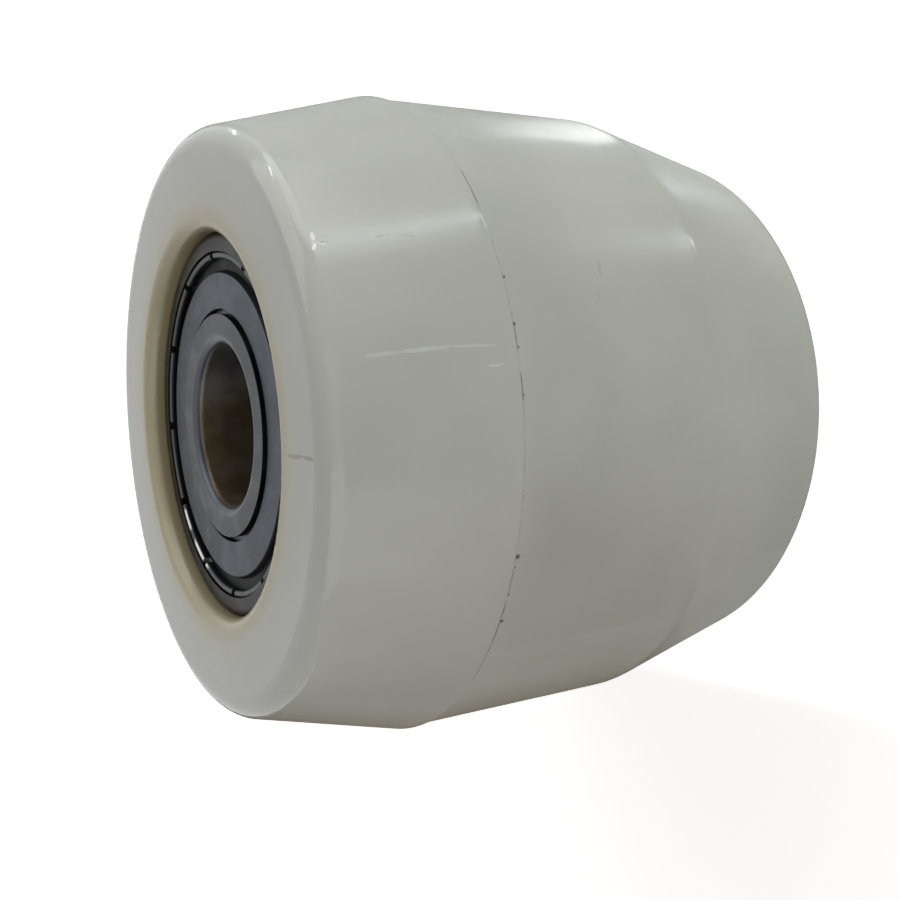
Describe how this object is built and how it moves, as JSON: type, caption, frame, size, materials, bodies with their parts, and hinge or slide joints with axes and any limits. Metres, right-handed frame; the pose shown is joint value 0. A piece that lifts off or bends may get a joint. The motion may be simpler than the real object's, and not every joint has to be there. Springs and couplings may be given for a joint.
{
  "type": "garage door roller",
  "caption": "Barrel-shaped natural nylon guide roller on two shielded ball bearings, for a sliding or lifting garage door.",
  "frame": {"origin": "centre of the small end face, on the roller's axis", "axes": "+Z along the roller's axis from the small end to the large end; the notches of both bearings' shields and the first ball of each bearing start at +X"},
  "size_m": [0.0688, 0.0688, 0.06],
  "materials": {
    "natural_nylon": "satin",
    "ring_steel": "satin",
    "shield_steel": "satin",
    "cage_steel": "satin",
    "ball_steel": "polished",
    "sleeve_steel": "satin"
  },
  "bodies": {
    "hub": {"spacer_sleeve": "sleeve_steel", "large_end_inner_ring": "ring_steel", "small_end_inner_ring": "ring_steel"},
    "roller": {"roller_body": "natural_nylon", "large_end_outer_ring": "ring_steel", "large_end_outer_shield": "shield_steel", "large_end_inner_shield": "shield_steel", "small_end_outer_ring": "ring_steel", "small_end_outer_shield": "shield_steel", "small_end_inner_shield": "shield_steel"},
    "large_end_cage": {"large_end_cage_outer_half": "cage_steel", "large_end_cage_inner_half": "cage_steel", "large_end_cage_rivets": "cage_steel"},
    "large_end_ball_1": {"large_end_ball_1": "ball_steel"},
    "large_end_ball_2": {"large_end_ball_2": "ball_steel"},
    "large_end_ball_3": {"large_end_ball_3": "ball_steel"},
    "large_end_ball_4": {"large_end_ball_4": "ball_steel"},
    "large_end_ball_5": {"large_end_ball_5": "ball_steel"},
    "large_end_ball_6": {"large_end_ball_6": "ball_steel"},
    "large_end_ball_7": {"large_end_ball_7": "ball_steel"},
    "large_end_ball_8": {"large_end_ball_8": "ball_steel"},
    "small_end_cage": {"small_end_cage_outer_half": "cage_steel", "small_end_cage_inner_half": "cage_steel", "small_end_cage_rivets": "cage_steel"},
    "small_end_ball_1": {"small_end_ball_1": "ball_steel"},
    "small_end_ball_2": {"small_end_ball_2": "ball_steel"},
    "small_end_ball_3": {"small_end_ball_3": "ball_steel"},
    "small_end_ball_4": {"small_end_ball_4": "ball_steel"},
    "small_end_ball_5": {"small_end_ball_5": "ball_steel"},
    "small_end_ball_6": {"small_end_ball_6": "ball_steel"},
    "small_end_ball_7": {"small_end_ball_7": "ball_steel"},
    "small_end_ball_8": {"small_end_ball_8": "ball_steel"}
  },
  "joints": [
    {"name": "roller_spin", "type": "hinge", "parent": "hub", "child": "roller", "pos_m": [0, 0, 0.03], "axis": [0, 0, 1], "continuous": true},
    {"name": "large_end_cage_orbit", "type": "hinge", "parent": "hub", "child": "large_end_cage", "pos_m": [0, 0, 0.0521], "axis": [0, 0, 1], "continuous": true},
    {"name": "large_end_ball_1_spin", "type": "hinge", "parent": "large_end_cage", "child": "large_end_ball_1", "pos_m": [0.01425, 0, 0.0521], "axis": [0, 0, 1], "continuous": true},
    {"name": "large_end_ball_2_spin", "type": "hinge", "parent": "large_end_cage", "child": "large_end_ball_2", "pos_m": [0.01008, 0.01008, 0.0521], "axis": [0, 0, 1], "continuous": true},
    {"name": "large_end_ball_3_spin", "type": "hinge", "parent": "large_end_cage", "child": "large_end_ball_3", "pos_m": [0, 0.01425, 0.0521], "axis": [0, 0, 1], "continuous": true},
    {"name": "large_end_ball_4_spin", "type": "hinge", "parent": "large_end_cage", "child": "large_end_ball_4", "pos_m": [-0.01008, 0.01008, 0.0521], "axis": [0, 0, 1], "continuous": true},
    {"name": "large_end_ball_5_spin", "type": "hinge", "parent": "large_end_cage", "child": "large_end_ball_5", "pos_m": [-0.01425, 0, 0.0521], "axis": [0, 0, 1], "continuous": true},
    {"name": "large_end_ball_6_spin", "type": "hinge", "parent": "large_end_cage", "child": "large_end_ball_6", "pos_m": [-0.01008, -0.01008, 0.0521], "axis": [0, 0, 1], "continuous": true},
    {"name": "large_end_ball_7_spin", "type": "hinge", "parent": "large_end_cage", "child": "large_end_ball_7", "pos_m": [0, -0.01425, 0.0521], "axis": [0, 0, 1], "continuous": true},
    {"name": "large_end_ball_8_spin", "type": "hinge", "parent": "large_end_cage", "child": "large_end_ball_8", "pos_m": [0.01008, -0.01008, 0.0521], "axis": [0, 0, 1], "continuous": true},
    {"name": "small_end_cage_orbit", "type": "hinge", "parent": "hub", "child": "small_end_cage", "pos_m": [0, 0, 0.0079], "axis": [0, 0, 1], "continuous": true},
    {"name": "small_end_ball_1_spin", "type": "hinge", "parent": "small_end_cage", "child": "small_end_ball_1", "pos_m": [0.01425, 0, 0.0079], "axis": [0, 0, 1], "continuous": true},
    {"name": "small_end_ball_2_spin", "type": "hinge", "parent": "small_end_cage", "child": "small_end_ball_2", "pos_m": [0.01008, 0.01008, 0.0079], "axis": [0, 0, 1], "continuous": true},
    {"name": "small_end_ball_3_spin", "type": "hinge", "parent": "small_end_cage", "child": "small_end_ball_3", "pos_m": [0, 0.01425, 0.0079], "axis": [0, 0, 1], "continuous": true},
    {"name": "small_end_ball_4_spin", "type": "hinge", "parent": "small_end_cage", "child": "small_end_ball_4", "pos_m": [-0.01008, 0.01008, 0.0079], "axis": [0, 0, 1], "continuous": true},
    {"name": "small_end_ball_5_spin", "type": "hinge", "parent": "small_end_cage", "child": "small_end_ball_5", "pos_m": [-0.01425, 0, 0.0079], "axis": [0, 0, 1], "continuous": true},
    {"name": "small_end_ball_6_spin", "type": "hinge", "parent": "small_end_cage", "child": "small_end_ball_6", "pos_m": [-0.01008, -0.01008, 0.0079], "axis": [0, 0, 1], "continuous": true},
    {"name": "small_end_ball_7_spin", "type": "hinge", "parent": "small_end_cage", "child": "small_end_ball_7", "pos_m": [0, -0.01425, 0.0079], "axis": [0, 0, 1], "continuous": true},
    {"name": "small_end_ball_8_spin", "type": "hinge", "parent": "small_end_cage", "child": "small_end_ball_8", "pos_m": [0.01008, -0.01008, 0.0079], "axis": [0, 0, 1], "continuous": true}
  ],
  "couplings": [
    {"joint": "large_end_cage_orbit", "follows": "roller_spin", "ratio": 0.61831},
    {"joint": "large_end_ball_1_spin", "follows": "roller_spin", "ratio": 1.9948},
    {"joint": "large_end_ball_2_spin", "follows": "roller_spin", "ratio": 1.9948},
    {"joint": "large_end_ball_3_spin", "follows": "roller_spin", "ratio": 1.9948},
    {"joint": "large_end_ball_4_spin", "follows": "roller_spin", "ratio": 1.9948},
    {"joint": "large_end_ball_5_spin", "follows": "roller_spin", "ratio": 1.9948},
    {"joint": "large_end_ball_6_spin", "follows": "roller_spin", "ratio": 1.9948},
    {"joint": "large_end_ball_7_spin", "follows": "roller_spin", "ratio": 1.9948},
    {"joint": "large_end_ball_8_spin", "follows": "roller_spin", "ratio": 1.9948},
    {"joint": "small_end_cage_orbit", "follows": "roller_spin", "ratio": 0.61831},
    {"joint": "small_end_ball_1_spin", "follows": "roller_spin", "ratio": 1.9948},
    {"joint": "small_end_ball_2_spin", "follows": "roller_spin", "ratio": 1.9948},
    {"joint": "small_end_ball_3_spin", "follows": "roller_spin", "ratio": 1.9948},
    {"joint": "small_end_ball_4_spin", "follows": "roller_spin", "ratio": 1.9948},
    {"joint": "small_end_ball_5_spin", "follows": "roller_spin", "ratio": 1.9948},
    {"joint": "small_end_ball_6_spin", "follows": "roller_spin", "ratio": 1.9948},
    {"joint": "small_end_ball_7_spin", "follows": "roller_spin", "ratio": 1.9948},
    {"joint": "small_end_ball_8_spin", "follows": "roller_spin", "ratio": 1.9948}
  ]
}
